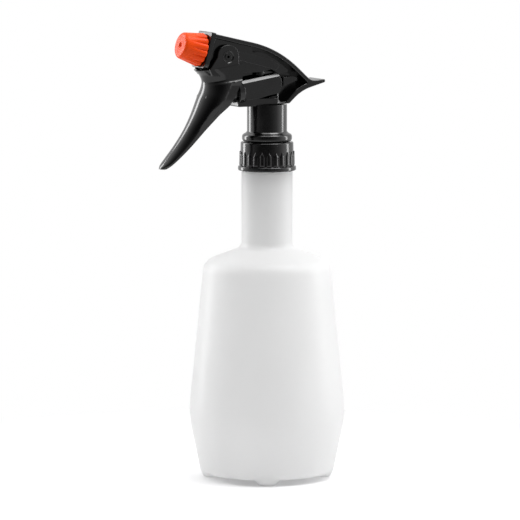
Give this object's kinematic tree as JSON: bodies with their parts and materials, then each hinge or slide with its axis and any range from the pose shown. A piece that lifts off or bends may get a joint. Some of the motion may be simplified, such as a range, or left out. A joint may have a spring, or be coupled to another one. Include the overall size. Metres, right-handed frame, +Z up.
{
  "type": "hand mister",
  "caption": "Trigger sprayer head with a curved lever, a fluted adjustable nozzle cap and a ribbed screw ring on a tall tapered translucent bottle.",
  "frame": {"origin": "centre of the footprint on the surface that the bottle stands on", "axes": "+Z up along the bottle's axis, nozzle towards -X, pivot of the trigger along Y"},
  "size_m": [0.1241, 0.0978, 0.2834],
  "materials": {
    "milky_plastic": "translucent unpigmented polyethylene, satin",
    "black_plastic": "black polypropylene, semi-gloss",
    "orange_plastic": "orange polypropylene, satin",
    "natural_plastic": "natural polyethylene, satin",
    "seal_rubber": "soft elastomer, dull",
    "spring_steel": "drawn stainless wire",
    "ball_steel": "polished stainless ball"
  },
  "bodies": {
    "bottle_body": {"bottle": "milky_plastic"},
    "gasket_body": {"neck_gasket": "seal_rubber"},
    "closure_body": {"closure_ring": "black_plastic"},
    "head_body": {"pump_body": "black_plastic", "intake_housing": "natural_plastic", "outlet_plug": "natural_plastic", "return_spring": "spring_steel", "shroud": "black_plastic", "nozzle_spigot": "natural_plastic", "spinner": "natural_plastic", "dip_tube": "natural_plastic", "tube_filter": "natural_plastic"},
    "trigger_body": {"trigger": "black_plastic"},
    "piston_body": {"piston": "black_plastic", "piston_seal": "seal_rubber"},
    "nozzle_seal_body": {"nozzle_seal": "seal_rubber"},
    "nozzle_cap_body": {"nozzle_cap": "orange_plastic"},
    "inlet_ball_body": {"inlet_ball": "ball_steel"},
    "outlet_ball_body": {"outlet_ball": "ball_steel"}
  },
  "joints": [
    {"name": "head_lift", "type": "slide", "parent": "bottle_body", "child": "gasket_body", "axis": [0, 0, 1], "range_m": [0, 0.0042]},
    {"name": "ring_turn", "type": "hinge", "parent": "gasket_body", "child": "closure_body", "pos_m": [0.013, 0, 0.204], "axis": [0, 0, 1], "range_deg": [0, 360]},
    {"name": "head_swivel", "type": "hinge", "parent": "gasket_body", "child": "head_body", "pos_m": [0.013, 0, 0.208], "axis": [0, 0, 1], "range_deg": [-180, 180]},
    {"name": "trigger_pull", "type": "hinge", "parent": "head_body", "child": "trigger_body", "pos_m": [-0.0195, 0, 0.2677], "axis": [0, -1, 0], "range_deg": [0, 20], "stiffness_Nm_per_rad": 0.8, "springref_deg": -17.19},
    {"name": "piston_stroke", "type": "slide", "parent": "head_body", "child": "piston_body", "axis": [0.9877, 0, 0.1564], "range_m": [0, 0.009], "deforming": ["return_spring"]},
    {"name": "nozzle_travel", "type": "slide", "parent": "head_body", "child": "nozzle_seal_body", "axis": [-0.9681, 0, 0.2504], "range_m": [0, 0.0025]},
    {"name": "nozzle_turn", "type": "hinge", "parent": "nozzle_seal_body", "child": "nozzle_cap_body", "pos_m": [-0.033, 0, 0.2716], "axis": [-0.9681, 0, 0.2504], "range_deg": [0, 360]},
    {"name": "inlet_ball_lift", "type": "slide", "parent": "head_body", "child": "inlet_ball_body", "axis": [0, 0, 1], "range_m": [0, 0.001]},
    {"name": "outlet_ball_lift", "type": "slide", "parent": "head_body", "child": "outlet_ball_body", "axis": [0, 0, 1], "range_m": [0, 0.001]}
  ],
  "couplings": [
    {"joint": "ring_turn", "follows": "head_lift", "rad_per_m": 1496},
    {"joint": "piston_stroke", "follows": "trigger_pull", "m_per_rad": 0.0256},
    {"joint": "nozzle_turn", "follows": "nozzle_travel", "rad_per_m": 2513.3}
  ]
}
